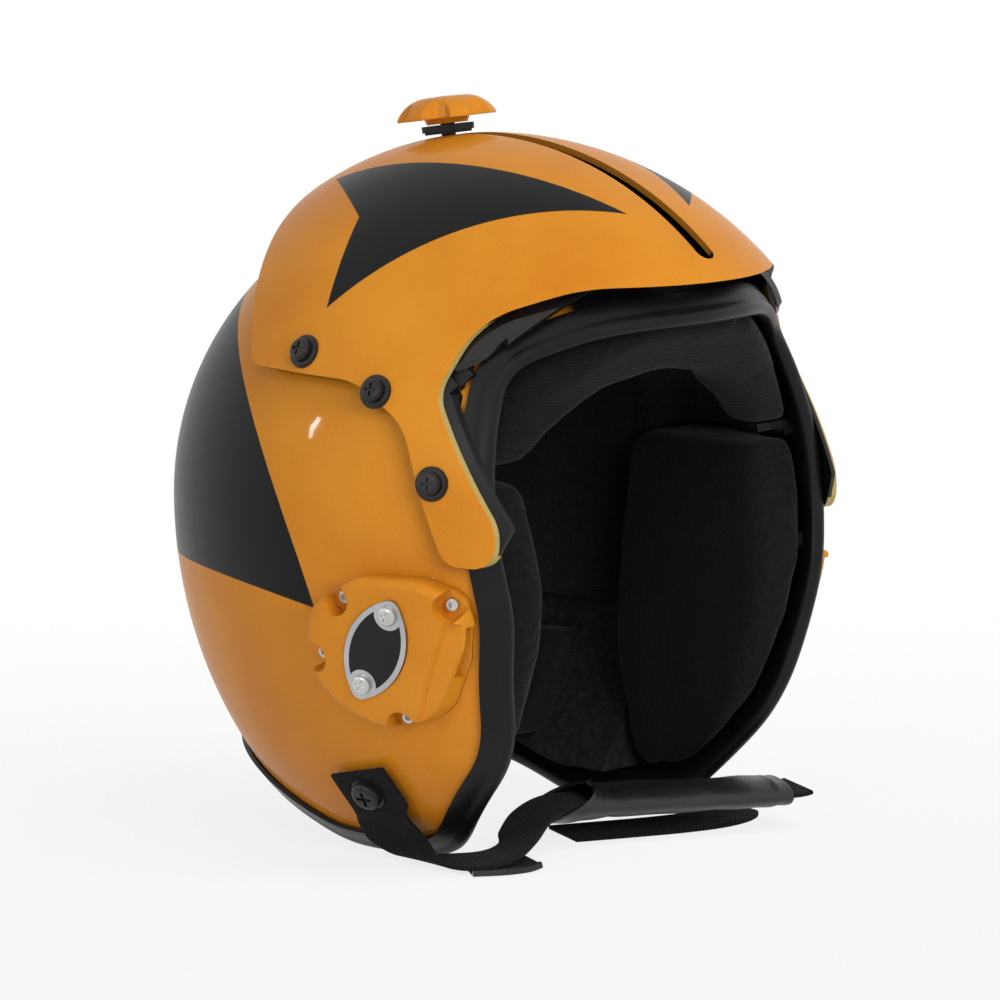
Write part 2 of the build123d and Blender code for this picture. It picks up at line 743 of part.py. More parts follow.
# Ear covers: hollow domed mouldings with scooped screw seats and a slot under a ledge in front.
ear_points = [ear_point(share) for share in ear_outline_shares]
ear_face = side_face(ear_points, [share * ear_height for share in ear_radius_shares])
ear_inner_face = offset(ear_face, amount=-ear_skin)
mask_slot_y, mask_slot_z = ear_point(mask_slot_centre_share)
ledge_y, ledge_z = ear_point(ledge_foot_share)
ledge = Pos(0, ledge_y, ledge_z) * Rot(ledge_tilt, 0, 0) * Pos(0, 0, ledge_height)
ledge = ledge * Box(2 * wide, overrun, overrun, align=(Align.CENTER, Align.MAX, Align.MAX))
ledge -= form_solid(shell_form, ledge_level)
for name, side in sides.items():
    planes = ear_screw_planes[side]
    dome = form_solid(shell_form, ear_rise) & prism(ear_face, 0, side * wide)
    rim_edges = [
        edge for edge in dome.edges()
        if abs(edge.center().X) > shell_half_width * 0.7
    ]
    dome = fillet(rim_edges, ear_round)
    dome -= form_solid(shell_form, seat_gap)
    dome -= trim_room
    dome -= ledge
    for plane in planes:
        dome -= plane.location * Cylinder(ear_scoop, overrun, align=low)
        dome -= shank_hole(ear_screw[0], plane)
    cavity = form_solid(shell_form, ear_rise - ear_skin) & prism(ear_inner_face, 0, side * wide)
    for plane in planes:
        cavity -= plane.location * Cylinder(ear_scoop + ear_skin, 2 * overrun)
    slot_frame = Pos(0, mask_slot_y, mask_slot_z) * Rot(mask_slot_tilt, 0, 0)
    slot_frame = slot_frame * Pos(0, mask_slot_depth, 0)
    front_block = Box(2 * wide, wide, wide, align=(Align.CENTER, Align.MAX, Align.CENTER))
    cavity -= slot_frame * Pos(0, ear_skin, 0) * front_block
    to_front = (Align.CENTER, Align.MAX, Align.CENTER)
    passage = slot_frame * Box(2 * wide, overrun, mask_slot_height, align=to_front)
    passage = passage & form_solid(shell_form, mask_slot_floor + mask_slot_gap)
    passage -= form_solid(shell_form, mask_slot_floor)
    badge_y, badge_z = ear_point(badge_centre_share)
    badge_seat = surface_plane(shell_form, badge_y, badge_z, side, ear_rise - badge_sink)
    badge_frame = badge_seat.location * Rot(0, 0, side * badge_tilt)
    half_width = badge_width / 2
    arc_radius = (badge_point**2 + half_width**2) / (2 * half_width)
    shift = arc_radius - half_width
    almond = Pos(shift, 0) * Circle(arc_radius)
    almond = almond & (Pos(-shift, 0) * Circle(arc_radius))
    almond = fillet(almond.vertices(), badge_tip)
    screw_places = [(0, step * badge_screw_spacing / 2) for step in (-1, 1)]
    for place in screw_places:
        boss = badge_frame * Pos(*place, 0) * Cylinder(badge_boss / 2, 2 * overrun)
        cavity -= boss
    half_space = Pos(side * wide / 2, 0, 0) * Box(wide, 2 * wide, 2 * wide)
    body = dome - (cavity & half_space) - (passage & half_space)
    body -= badge_frame * extrude(offset(almond, amount=seat_gap), amount=overrun)
    for place in screw_places:
        hole = Cylinder(badge_screw[0] / 2 + hole_gap / 2, 2 * badge_screw_length)
        body -= badge_frame * Pos(*place, 0) * hole
    keep(f"ear_cover_{name}", body)

    # Badge plate, its inset and its screws.
    field = offset(almond, amount=-badge_rim)
    for place in screw_places:
        field -= Pos(*place) * Circle(badge_screw[1] / 2 + badge_rim)
    plate = extrude(almond, amount=badge_wall)
    plate -= Pos(0, 0, badge_wall - badge_inset_depth) * extrude(field, amount=badge_wall)
    for place in screw_places:
        plate -= Pos(*place, 0) * Cylinder(badge_screw[0] / 2 + hole_gap, 3 * badge_wall)
    plate_frame = badge_frame * Pos(0, 0, flat_gap)
    keep(f"badge_plate_{name}", plate_frame * plate)
    inset = extrude(offset(field, amount=-flat_gap), amount=badge_inset_depth * 0.7)
    keep(f"badge_inset_{name}", plate_frame * Pos(0, 0, badge_wall - badge_inset_depth + flat_gap) * inset)
    badge_screws = [
        plate_frame * Pos(*place, badge_wall) * pan_screw(badge_screw, badge_screw_length)
        for place in screw_places
    ]
    keep(f"badge_screws_{name}", gather(badge_screws))

all_ear_planes = [plane for planes in ear_screw_planes.values() for plane in planes]
ear_screws = [
    plane.location * Pos(0, 0, flat_gap) * socket_screw(ear_screw, ear_screw_length)
    for plane in all_ear_planes
]
keep("ear_cover_screws", gather(ear_screws))
keep("ear_cover_nuts", gather(inner_nut(plane, ear_screw[0] + nut_thread_gap) for plane in all_ear_planes))

# Chin strap: two lengths of webbing, a sleeve and a loose end tab.


def station(row):
    """The middle and the width direction of a band at one station."""
    (x, y, z), across = row
    middle = (x * shell_half_width, shell_centre_y + y * shell_front, z * shell_height)
    return Vector(*middle), Vector(*across).normalized()


def webbing(stations, width, wall):
    """A flat band through its stations, each run straight."""
    faces = []
    for index, (middle, across) in enumerate(stations):
        before = stations[max(index - 1, 0)][0]
        after = stations[min(index + 1, len(stations) - 1)][0]
        plane = Plane(origin=middle, x_dir=across, z_dir=(after - before) - across * (after - before).dot(across))
        faces.append(plane * Rectangle(width, wall))
    return loft([face.face() for face in faces], ruled=True)


def tab_stations(seat, side):
    """The two stations of a strap's screwed tab, which lies flat under the washer."""
    frame = Plane(seat.location * Rot(0, 0, -side * strap_tilt))
    across = frame.x_dir * -side
    middle = frame.origin - frame.z_dir * (strap_wall / 2)
    return [(middle + frame.y_dir * strap_tab_rise, across), (middle - frame.y_dir * strap_tab_fall, across)]


strap_washers = []
strap_screws = []
strap_nuts = []
for name, side in sides.items():
    seat = strap_seats[side]
    rows = strap_right_shares if side < 0 else strap_left_shares
    stations = tab_stations(seat, side) + [station(row) for row in rows]
    band = webbing(stations, strap_width, strap_wall)
    band -= seat.location * Cylinder(strap_screw[0] / 2 + hole_gap, overrun / 2)
    keep(f"chin_strap_{name}", band)
    low_washer = ring(strap_washer_diameter, strap_screw[0] + 2 * hole_gap, strap_washer_height)
    strap_washers.append(seat.location * low_washer)
    screw = pan_screw(strap_screw, strap_screw_length)
    strap_screws.append(seat.location * Pos(0, 0, strap_washer_height + flat_gap) * screw)
    strap_nuts.append(inner_nut(seat, strap_screw[0] + nut_thread_gap))
keep("strap_washers", gather(strap_washers))
keep("strap_screws", gather(strap_screws))
keep("strap_nuts", gather(strap_nuts))


def sleeve_solid(shrink, stretch):
    """The sleeve's outer or inner form: ellipses along its line, stretched past both ends."""
    faces = []
    along = Vector(*sleeve_direction).normalized()
    last = len(sleeve_shares) - 1
    for index, share in enumerate(sleeve_shares):
        middle, _ = station((share, sleeve_direction))
        if index == 0:
            middle -= along * stretch
        if index == last:
            middle += along * stretch
        plane = Plane(origin=middle, x_dir=along.cross(Vector(0, 0, 1)), z_dir=along)
        half_width = sleeve_half_widths[index] - shrink
        half_height = sleeve_half_heights[index] - shrink
        faces.append((plane * Ellipse(half_width, half_height)).face())
    return loft(faces)


keep("chin_pad", sleeve_solid(0.0, 0.0) - sleeve_solid(sleeve_skin, seat_gap))
end_tab_stations = [station(row) for row in end_tab_shares]
keep("strap_end_tab", webbing(end_tab_stations, end_tab_width, end_tab_wall))

os.makedirs("parts", exist_ok=True)
for name, shape in parts.items():
    export_step(shape, f"parts/{name}.step")
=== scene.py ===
import math

import bpy
from mathutils import Matrix, Vector


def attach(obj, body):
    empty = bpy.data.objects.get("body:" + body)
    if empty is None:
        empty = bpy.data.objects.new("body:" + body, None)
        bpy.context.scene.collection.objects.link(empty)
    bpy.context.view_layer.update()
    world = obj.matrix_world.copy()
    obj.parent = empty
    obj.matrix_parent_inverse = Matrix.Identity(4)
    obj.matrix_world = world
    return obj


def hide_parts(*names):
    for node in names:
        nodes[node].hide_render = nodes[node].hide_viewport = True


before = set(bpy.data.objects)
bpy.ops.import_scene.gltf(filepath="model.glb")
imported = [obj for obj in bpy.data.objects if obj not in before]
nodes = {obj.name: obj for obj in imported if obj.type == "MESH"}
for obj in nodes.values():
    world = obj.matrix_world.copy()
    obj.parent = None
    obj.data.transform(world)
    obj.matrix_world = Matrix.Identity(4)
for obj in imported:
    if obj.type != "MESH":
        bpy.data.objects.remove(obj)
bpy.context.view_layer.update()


# Camera. The photograph was taken from some three metres away with a long lens,
# a little above the helmet and towards the wearer's right front.
view_turn = math.radians(47.74)
view_rise = math.radians(8.889)
view_distance = 3.2781
view_sideways = 0.00113
view_level = 0.1345
shell_centre = Vector((0, -0.0095, 0.137))
back = Vector((
    -math.sin(view_turn) * math.cos(view_rise),
    -math.cos(view_turn) * math.cos(view_rise),
    math.sin(view_rise),
))
right = Vector((math.cos(view_turn), -math.sin(view_turn), 0))
up = back.cross(right)
bpy.ops.object.select_all(action="DESELECT")
bpy.ops.object.camera_add()
camera = bpy.context.object
camera.name = "camera"
camera.data.sensor_width = 36
camera.data.lens = 284.3
stage_size = 60
camera.data.clip_end = stage_size
camera_place = back * view_distance + right * view_sideways + up * view_level
camera_place.y += shell_centre.y
camera.matrix_world = Matrix.Translation(camera_place) @ Matrix((right, up, back)).transposed().to_4x4()
bpy.context.scene.camera = camera


# Floor and light. A white cloth lies under the helmet, large soft windows light it from above
# and in front, small ones give the highlights, and white daylight comes from all sides.
def new_material(name):
    """A material with nodes: the material, its node tree and its shader."""
    material = bpy.data.materials.new(name)
    material.use_nodes = True
    tree = material.node_tree
    return material, tree, tree.nodes["Principled BSDF"]


def fill(tree, socket, value):
    """Joins an output to a socket, or writes a plain value on it."""
    if isinstance(value, bpy.types.NodeSocket):
        tree.links.new(value, socket)
    elif value is not None:
        socket.default_value = value


def sum_of(tree, operation, first, second=None, third=None, clamp=False):
    """A Math node's result."""
    step = tree.nodes.new("ShaderNodeMath")
    step.operation = operation
    step.use_clamp = clamp
    for socket, value in zip(step.inputs, (first, second, third)):
        fill(tree, socket, value)
    return step.outputs[0]


def arrow(tree, operation, first, second=None):
    """A Vector Math node: its number for a length, distance or dot product, else its vector."""
    step = tree.nodes.new("ShaderNodeVectorMath")
    step.operation = operation
    fill(tree, step.inputs[0], first)
    fill(tree, step.inputs[1], second)
    number = operation in ("LENGTH", "DISTANCE", "DOT_PRODUCT")
    return step.outputs["Value" if number else "Vector"]


def ramp(tree, value, start, end, low=0.0, high=1.0):
    """A value carried from one range to another, held at both ends."""
    step = tree.nodes.new("ShaderNodeMapRange")
    ends = (("From Min", start), ("From Max", end), ("To Min", low), ("To Max", high))
    for name, number in (("Value", value), *ends):
        fill(tree, step.inputs[name], number)
    return step.outputs[0]


def blend_colours(tree, share, first, second):
    """One colour mixed into another by a share."""
    step = tree.nodes.new("ShaderNodeMix")
    step.data_type = "RGBA"
    fill(tree, step.inputs["Factor"], share)
    for socket, colour in ((step.inputs["A"], first), (step.inputs["B"], second)):
        fill(tree, socket, colour if isinstance(colour, bpy.types.NodeSocket) else (*colour, 1))
    return step.outputs["Result"]


def object_place(tree):
    """Where a point is on the object."""
    return tree.nodes.new("ShaderNodeTexCoord").outputs["Object"]


def noise(tree, place, scale, detail=2.0, roughness=0.5):
    """A soft random value round a half."""
    step = tree.nodes.new("ShaderNodeTexNoise")
    fill(tree, step.inputs["Vector"], place)
    step.inputs["Scale"].default_value = scale
    step.inputs["Detail"].default_value = detail
    step.inputs["Roughness"].default_value = roughness
    return step.outputs[0]


def bump(tree, height, strength, distance, under=None):
    """A bumped normal."""
    step = tree.nodes.new("ShaderNodeBump")
    step.inputs["Strength"].default_value = strength
    step.inputs["Distance"].default_value = distance
    fill(tree, step.inputs["Height"], height)
    fill(tree, step.inputs["Normal"], under)
    return step.outputs[0]


bpy.ops.object.select_all(action="DESELECT")
bpy.ops.mesh.primitive_plane_add(size=stage_size, location=(0, 0, 0))
floor = bpy.context.object
floor.name = "floor"
cloth_white, tree, shader = new_material("floor_white")
shader.inputs["Base Color"].default_value = (0.86, 0.86, 0.87, 1)
shader.inputs["Roughness"].default_value = 0.9
place = object_place(tree)
weave = noise(tree, place, 260, 4, 0.7)
fill(tree, shader.inputs["Normal"], bump(tree, weave, 0.25, 0.001))
glow = tree.nodes.new("ShaderNodeEmission")
glow.inputs["Strength"].default_value = 1.0
light_path = tree.nodes.new("ShaderNodeLightPath")
seen = sum_of(tree, "MAXIMUM", light_path.outputs["Is Camera Ray"], light_path.outputs["Is Glossy Ray"])
seen = sum_of(tree, "MAXIMUM", seen, light_path.outputs["Is Transmission Ray"])
away = arrow(tree, "DOT_PRODUCT", place, (-back.x, -back.y, 0))
floor_near, floor_far = -0.3, 0.5
near_glow = 0.72
share = sum_of(tree, "MULTIPLY", ramp(tree, away, floor_near, floor_far, near_glow, 1.0), seen)
mixer = tree.nodes.new("ShaderNodeMixShader")
fill(tree, mixer.inputs[0], share)
fill(tree, mixer.inputs[1], shader.outputs[0])
fill(tree, mixer.inputs[2], glow.outputs[0])
fill(tree, tree.nodes["Material Output"].inputs["Surface"], mixer.outputs[0])
floor.data.materials.append(cloth_white)

world = bpy.data.worlds.new("daylight")
bpy.context.scene.world = world
world.use_nodes = True
sky = world.node_tree.nodes["Background"]
sky_path = world.node_tree.nodes.new("ShaderNodeLightPath")
seen = sum_of(world.node_tree, "MAXIMUM", sky_path.outputs["Is Camera Ray"], sky_path.outputs["Is Glossy Ray"])
seen = sum_of(world.node_tree, "MAXIMUM", seen, sky_path.outputs["Is Transmission Ray"])
sky_fill = 0.20
fill(world.node_tree, sky.inputs["Strength"], ramp(world.node_tree, seen, 0, 1, sky_fill, 1.0))
sky.inputs["Color"].default_value = (1, 1, 1, 1)

lamp_target = Vector((0, 0, 0.16))
broad_lamp = 1.0
for name, spot, width, height, power in (
    ("window_above", (0.1, -1.2, 2.4), 1.4, 1.4, 26),
    ("window_front", (-1.0, -2.3, 1.0), 1.2, 1.2, 30),
    ("window_side", (-2.0, -1.0, 1.6), 0.30, 0.60, 4),
    ("window_left", (-2.3, -0.2, 0.9), 0.10, 0.32, 7),
    ("window_behind", (-1.83, 1.52, 0.95), 0.06, 0.26, 4),
    ("room_right", (1.6, -2.2, 1.3), 1.6, 1.6, 10),
):
    bpy.ops.object.light_add(type="AREA", location=spot)
    lamp = bpy.context.object
    lamp.name = name
    lamp.data.shape = "RECTANGLE"
    lamp.data.size = width
    lamp.data.size_y = height
    lamp.data.energy = power
    lamp.visible_glossy = width < broad_lamp
    aim = lamp_target - Vector(spot)
    lamp.rotation_euler = aim.to_track_quat("-Z", "Y").to_euler()


# Shell. A glass-fibre lay-up with ochre-orange paint, a black field painted over its rear, and
# clear coat over both. The field's edges are arcs in the side view.
orange_low = (0.58, 0.195, 0.010)
orange_high = (0.70, 0.270, 0.018)
field_black = (0.004, 0.004, 0.0045)
# The black of the bare laminate inside, also used as painted shade on the crown under the cover.
laminate_and_shade_black = (0.006, 0.006, 0.006)
clear_coat = 0.2
arc_softness = 0.0002
shell_side = 0.1225
shell_front = 0.155
shell_back = 0.143
shell_crown = 0.131
shell_drop = 0.165
rear_arc = ((0.1568, 0.0550), 0.1841)
foot_arc = ((0.0621, -0.3314), 0.4462)
outer_skin = (0.970, 0.980)
# Where the crown lies under the cover it is painted black, as painted shade.
crown_shade_half_width = (0.058, 0.052)
crown_shade_level = (0.200, 0.204)


def flat_place(tree, across, along):
    """Two numbers as a flat place, for distances to arc centres."""
    step = tree.nodes.new("ShaderNodeCombineXYZ")
    fill(tree, step.inputs[0], across)
    fill(tree, step.inputs[1], along)
    return step.outputs[0]


def within(tree, flat, centre, radius):
    """One inside a circle, nought outside it."""
    reach = arrow(tree, "DISTANCE", flat, (*centre, 0))
    return ramp(tree, reach, radius + arc_softness, radius - arc_softness)


def opposite(tree, share):
    """One less the share."""
    return sum_of(tree, "SUBTRACT", 1.0, share)


def gloss_paint(name, field=None, lining=None, soft=None):
    """Ochre paint under clear coat; a field, a lining and the softness of edges where given."""
    material, tree, shader = new_material(name)
    place = object_place(tree)
    eased = None
    if soft:
        edges = tree.nodes.new("ShaderNodeBevel")
        edges.samples = 6
        edges.inputs["Radius"].default_value = soft
        eased = edges.outputs["Normal"]
    clouds = noise(tree, place, 14, 4, 0.55)
    flecks = noise(tree, place, 1500, 1, 0.5)
    tone = sum_of(tree, "MULTIPLY_ADD", flecks, 0.35, sum_of(tree, "SUBTRACT", clouds, 0.175))
    colour = blend_colours(tree, ramp(tree, tone, 0.3, 0.7), orange_low, orange_high)
    if field:
        colour = blend_colours(tree, field(tree, place), colour, field_black)
    gloss = clear_coat
    if lining:
        colour, painted = lining(tree, place, colour)
        gloss = sum_of(tree, "MULTIPLY", painted, gloss)
    fill(tree, shader.inputs["Base Color"], colour)
    shader.inputs["Roughness"].default_value = 0.42
    shader.inputs["Specular IOR Level"].default_value = 0.05
    fill(tree, shader.inputs["Coat Weight"], gloss)
    shader.inputs["Coat Roughness"].default_value = 0.05
    shader.inputs["Coat IOR"].default_value = 1.5
    peel = noise(tree, place, 180, 2, 0.4)
    waves = noise(tree, place, 22, 1, 0.4)
    skin = bump(tree, peel, 0.05, 0.0006, bump(tree, waves, 0.12, 0.002, eased))
    fill(tree, shader.inputs["Coat Normal"], skin)
    fill(tree, shader.inputs["Normal"], bump(tree, flecks, 0.04, 0.0002, eased))
    return material


def rear_field(tree, place):
    """Behind a hollow arc and above a shallow one, in the side view."""
    parts = tree.nodes.new("ShaderNodeSeparateXYZ")
    fill(tree, parts.inputs[0], place)
    side = flat_place(tree, parts.outputs["Y"], parts.outputs["Z"])
    behind = within(tree, side, *rear_arc)
    above = opposite(tree, within(tree, side, *foot_arc))
    return sum_of(tree, "MULTIPLY", behind, above)


def finish_node(name, material):
    """A CAD node takes a material in place of its plain one."""
    nodes[name].data.materials.clear()
    nodes[name].data.materials.append(material)


def bare_inside_and_crown_shade(tree, place, colour):
    """The inside of the shell stays dark, unpainted laminate; its crown under the cover takes the same black
    as painted shade.
    """
    parts = tree.nodes.new("ShaderNodeSeparateXYZ")
    fill(tree, parts.inputs[0], place)
    backward = sum_of(tree, "SUBTRACT", parts.outputs["Y"], shell_centre.y)
    level = sum_of(tree, "SUBTRACT", parts.outputs["Z"], shell_centre.z)
    length = ramp(tree, sum_of(tree, "GREATER_THAN", backward, 0), 0, 1, shell_front, shell_back)
    height = ramp(tree, sum_of(tree, "GREATER_THAN", level, 0), 0, 1, shell_drop, shell_crown)
    sideways = sum_of(tree, "ABSOLUTE", parts.outputs["X"])
    reach = sum_of(tree, "POWER", sum_of(tree, "DIVIDE", sideways, shell_side), 2)
    for side, radius in ((backward, length), (level, height)):
        step = sum_of(tree, "ABSOLUTE", sum_of(tree, "DIVIDE", side, radius))
        reach = sum_of(tree, "ADD", reach, sum_of(tree, "POWER", step, 2))
    painted = ramp(tree, reach, *outer_skin)
    # The crown under the cover takes the black as painted shade, without coat.
    mid = ramp(tree, sideways, *crown_shade_half_width)
    high = ramp(tree, parts.outputs["Z"], *crown_shade_level)
    painted = sum_of(tree, "MULTIPLY", painted, opposite(tree, sum_of(tree, "MULTIPLY", mid, high)))
    return blend_colours(tree, painted, laminate_and_shade_black, colour), painted


finish_node("shell", gloss_paint("shell_paint", rear_field, bare_inside_and_crown_shade))


# Edge trim. An extruded black rubber channel, bonded over the cut edge of the shell: a flat
# band outside, a lip inside and a round bead along the nose.
edge_corners = (
    ((-0.2110, 0.2321), 0.003), ((-0.1103, 0.2219), 0.0434), ((-0.0865, 0.2077), 0.0132),
    ((-0.1013, 0.1085), 0.0620), ((-0.0910, 0.0515), 0.0589), ((-0.0462, 0.0034), 0.0341),
    ((0.0091, 0.0034), 0.0620), ((0.0680, 0.0236), 0.0930), ((0.1920, 0.0630), 0.003),
)
trim_outline = (
    (0.0021, -0.0100), (0.0021, -0.0040), (0.0016, -0.0033), (0.0017, -0.0015), (0.0019, 0.0),
    (0.0015, 0.0018), (0.0002, 0.0031), (-0.0015, 0.0035), (-0.0032, 0.0031), (-0.0045, 0.0018),
    (-0.0050, 0.0), (-0.0050, -0.0100), (-0.0034, -0.0100), (-0.0034, -0.0004), (0.0004, -0.0004),
    (0.0004, -0.0100),
)
arc_parts = 12
merge_reach = 0.00002


def rounded_line(corners, step):
    """A side-view line through its corners, each turned on an arc, as close even points."""
    points = []
    for index, (corner, radius) in enumerate(corners):
        here = Vector(corner)
        if index in (0, len(corners) - 1):
            points.append(here)
            continue
        before = (Vector(corners[index - 1][0]) - here).normalized()
        after = (Vector(corners[index + 1][0]) - here).normalized()
        half = before.angle(after) / 2
        start = here + before * radius / math.tan(half)
        centre = here + (before + after).normalized() * radius / math.sin(half)
        first = start - centre
        sweep = (math.pi - 2 * half) * (1 if first.x * -before.y - first.y * -before.x > 0 else -1)
        for part in range(arc_parts + 1):
            turn = sweep * part / arc_parts
            points.append(centre + Vector((
                first.x * math.cos(turn) - first.y * math.sin(turn),
                first.x * math.sin(turn) + first.y * math.cos(turn),
            )))
    even = [points[0]]
    for first, last in zip(points, points[1:]):
        parts = max(1, round((last - first).length / step))
        even += [first.lerp(last, (part + 1) / parts) for part in range(parts)]
    return even


def form_x(y, z, grow):
    """How far out the shell's form stands at a side-view point, or less than nought outside it."""
    reach = (shell_front if y < shell_centre.y else shell_back) + grow
    rise = (shell_crown if z > shell_centre.z else shell_drop) + grow
    share = 1 - ((y - shell_centre.y) / reach) ** 2 - ((z - shell_centre.z) / rise) ** 2
    return (shell_side + grow) * math.copysign(math.sqrt(abs(share)), share)


def form_normal(place, grow=0.0):
    """The way out of the shell's form at a point on it."""
    reach = (shell_front if place.y < shell_centre.y else shell_back) + grow
    rise = (shell_crown if place.z > shell_centre.z else shell_drop) + grow
    away = place - shell_centre
    return Vector((away.x / (shell_side + grow) ** 2, away.y / reach**2, away.z / rise**2)).normalized()


half_wall = 0.0015
edge_step = 0.002
trim_step = 0.0030
half_edge = []
for y, z in rounded_line(edge_corners, edge_step):
    x = form_x(y, z, -half_wall)
    if x > half_wall:
        half_edge.append(Vector((x, y, z)))
edge_loop = half_edge + [Vector((-p.x, p.y, p.z)) for p in reversed(half_edge)]


def even_loop(loop, step):
    """Points at even steps along a closed line."""
    lengths = [0.0]
    for first, last in zip(loop, loop[1:] + loop[:1]):
        lengths.append(lengths[-1] + (last - first).length)
    count = round(lengths[-1] / step)
    found = []
    spot = 0
    for index in range(count):
        goal = lengths[-1] * index / count
        while lengths[spot + 1] < goal:
            spot += 1
        share = (goal - lengths[spot]) / (lengths[spot + 1] - lengths[spot])
        found.append(loop[spot].lerp(loop[(spot + 1) % len(loop)], share))
    return found


def smoothed(loop, rounds):
    """A closed line with its points eased towards their neighbours."""
    for _ in range(rounds):
        loop = [
            (loop[index - 1] + loop[index] * 2 + loop[(index + 1) % len(loop)]) / 4
            for index in range(len(loop))
        ]
    return loop


def surface_grid(name, across, along):
    """A primitive grid whose points are then carried to their places by their own shares."""
    bpy.ops.object.select_all(action="DESELECT")
    bpy.ops.mesh.primitive_grid_add(x_subdivisions=across, y_subdivisions=along, size=1, calc_uvs=True)
    piece = bpy.context.object
    piece.name = name
    return piece


def carry(piece, place_of, wrapped=False):
    """Each point of a grid goes to the place of its shares across and along."""
    for vertex in piece.data.vertices:
        vertex.co = place_of(vertex.co.x + 0.5, vertex.co.y + 0.5)
    if wrapped:
        bpy.ops.object.mode_set(mode="EDIT")
        bpy.ops.mesh.select_all(action="SELECT")
        bpy.ops.mesh.remove_doubles(threshold=merge_reach)
        bpy.ops.mesh.normals_make_consistent(inside=False)
        bpy.ops.object.mode_set(mode="OBJECT")
    bpy.ops.object.shade_smooth()


def rubber(name, shade, roughness):
    """Black rubber with a fine matt skin and rubbed, paler patches."""
    material, tree, shader = new_material(name)
    place = object_place(tree)
    patches = noise(tree, place, 30, 5, 0.65)
    worn = ramp(tree, patches, 0.35, 0.75)
    colour = blend_colours(tree, worn, (shade, shade, shade * 1.05), (shade * 1.9,) * 3)
    fill(tree, shader.inputs["Base Color"], colour)
    fill(tree, shader.inputs["Roughness"], ramp(tree, patches, 0.3, 0.7, roughness, roughness + 0.12))
    shader.inputs["Specular IOR Level"].default_value = 0.2
    fill(tree, shader.inputs["Normal"], bump(tree, noise(tree, place, 1400, 3, 0.6), 0.12, 0.0003))
    return material


edge_points = smoothed(even_loop(edge_loop, trim_step), 3)
edge_count = len(edge_points)
edge_frames = []
for index, point in enumerate(edge_points):
    run = (edge_points[(index + 1) % edge_count] - edge_points[index - 1]).normalized()
    out = form_normal(point)
    out = (out - run * out.dot(run)).normalized()
    edge_frames.append((point, out, run.cross(out)))
trim = surface_grid("edge_trim_rubber", len(trim_outline), edge_count)


def trim_place(across, along):
    """A point of the outline, carried along the shell's edge."""
    outward, beyond = trim_outline[round(across * len(trim_outline)) % len(trim_outline)]
    point, out, past = edge_frames[round(along * edge_count) % edge_count]
    return point + out * (outward + half_wall) + past * beyond * trim_side


first_past = edge_frames[0][2]
trim_side = 1 if first_past.z < 0 or first_past.y < 0 else -1
carry(trim, trim_place, wrapped=True)
bpy.ops.object.shade_smooth_by_angle(angle=math.radians(50))
trim.data.materials.append(rubber("trim_rubber", 0.004, 0.34))
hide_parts("edge_trim")
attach(trim, "helmet")


# Energy liner. Crushable bead foam, moulded black, which fills the shell between its wall and
# the pads and shows only in the gaps between them.
def bead_foam():
    """Black bead foam with a dull, dimpled skin and painted shade in the gaps between its beads."""
    material, tree, shader = new_material("liner_foam")
    place = object_place(tree)
    beads = tree.nodes.new("ShaderNodeTexVoronoi")
    beads.inputs["Scale"].default_value = 330
    fill(tree, beads.inputs["Vector"], place)
    # The gaps between the beads are painted darker, as painted shade.
    hollows = ramp(tree, beads.outputs["Distance"], 0.2, 0.7)
    colour = blend_colours(tree, hollows, (0.020, 0.020, 0.021), (0.008,) * 3)
    fill(tree, shader.inputs["Base Color"], colour)
    shader.inputs["Roughness"].default_value = 0.75
    fill(tree, shader.inputs["Normal"], bump(tree, opposite(tree, beads.outputs["Distance"]), 0.5, 0.0006))
    return material


finish_node("energy_liner", bead_foam())


# Crown, rear and nape pads. Foam sewn into black rib knit, soft to the touch, each held to the
# liner by its whole back.
def rib_knit(name, run, shade=0.0105):
    """Black knit whose ribs cross the run, with stitches along them, painted shade in its grooves and a faint
    sheen.
    """
    material, tree, shader = new_material(name)
    place = object_place(tree)
    sway = arrow(tree, "SCALE", noise(tree, place, 40, 3, 0.5))
    sway.node.inputs["Scale"].default_value = 0.004
    placed = arrow(tree, "ADD", place, sway)
    heights = []
    for axis, scale in ((run, 235), ({"Z": "Y", "Y": "Z", "X": "Z"}[run], 150)):
        wave = tree.nodes.new("ShaderNodeTexWave")
        wave.bands_direction = axis
        wave.inputs["Scale"].default_value = scale
        wave.inputs["Distortion"].default_value = 1.2
        wave.inputs["Detail"].default_value = 1.0
        wave.inputs["Detail Scale"].default_value = 1.5
        fill(tree, wave.inputs["Vector"], placed)
        heights.append(wave.outputs["Fac"])
    height = sum_of(tree, "MULTIPLY_ADD", heights[1], 0.35, heights[0])
    lint = noise(tree, place, 520, 4, 0.7)
    worn = noise(tree, place, 26, 4, 0.6)
    # The rib tops are painted lighter and the grooves darker, as painted shade; lint and wear vary the tone at
    # random.
    tone = sum_of(tree, "MULTIPLY_ADD", height, 0.16, lint)
    tone = sum_of(tree, "MULTIPLY_ADD", worn, 0.3, tone)
    pale = (shade * 2.0, shade * 2.0, shade * 2.1)
    colour = blend_colours(tree, ramp(tree, tone, 0.4, 1.1), (shade * 0.6,) * 3, pale)
    fill(tree, shader.inputs["Base Color"], colour)
    shader.inputs["Roughness"].default_value = 0.92
    shader.inputs["Specular IOR Level"].default_value = 0.1
    shader.inputs["Sheen Weight"].default_value = 0.06
    shader.inputs["Sheen Roughness"].default_value = 0.45
    under = bump(tree, lint, 0.25, 0.0006)
    fill(tree, shader.inputs["Normal"], bump(tree, height, 0.35, 0.0005, under))
    return material


def only(piece):
    """One piece selected and active, and nothing else."""
    bpy.ops.object.select_all(action="DESELECT")
    piece.select_set(True)
    bpy.context.view_layer.objects.active = piece


def apply_modifier(piece, kind, **settings):
    """A modifier put on a piece with its settings and applied."""
    only(piece)
    step = piece.modifiers.new(kind.lower(), kind)
    for name, value in settings.items():
        setattr(step, name, value)
    bpy.ops.object.modifier_apply(modifier=step.name)


